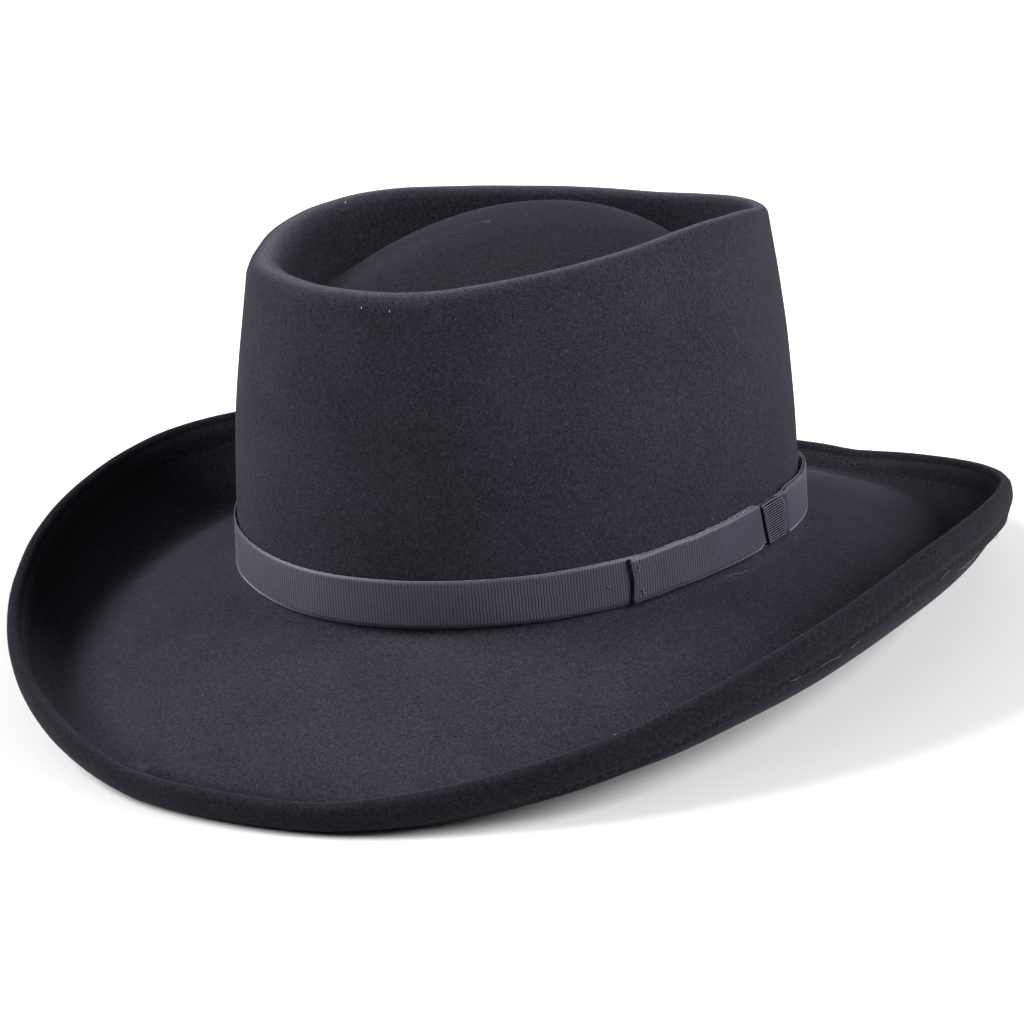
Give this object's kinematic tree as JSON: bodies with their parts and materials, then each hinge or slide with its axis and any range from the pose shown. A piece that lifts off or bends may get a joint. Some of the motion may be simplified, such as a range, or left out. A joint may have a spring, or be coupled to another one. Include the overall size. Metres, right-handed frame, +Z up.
{
  "type": "gambler hat",
  "caption": "Felt gambler hat with a telescope crown, a curled brim, a ribbon band and a flat side bow; worn on the head, rests on its brim.",
  "frame": {"origin": "middle of the hat's outline seen from above, on the surface that its brim rests on", "axes": "+Z up, the front of the hat faces -Y, the wearer's left with the bow is +X"},
  "size_m": [0.3108, 0.3456, 0.1428],
  "materials": {
    "felt": "charcoal wool felt, matte, with a soft nap",
    "ribbon": "charcoal grosgrain ribbon, ribbed, low sheen"
  },
  "bodies": {
    "root": {"felt_body": "felt", "hat_band": "ribbon", "bow": "ribbon", "bow_keeper": "ribbon"}
  },
  "joints": []
}
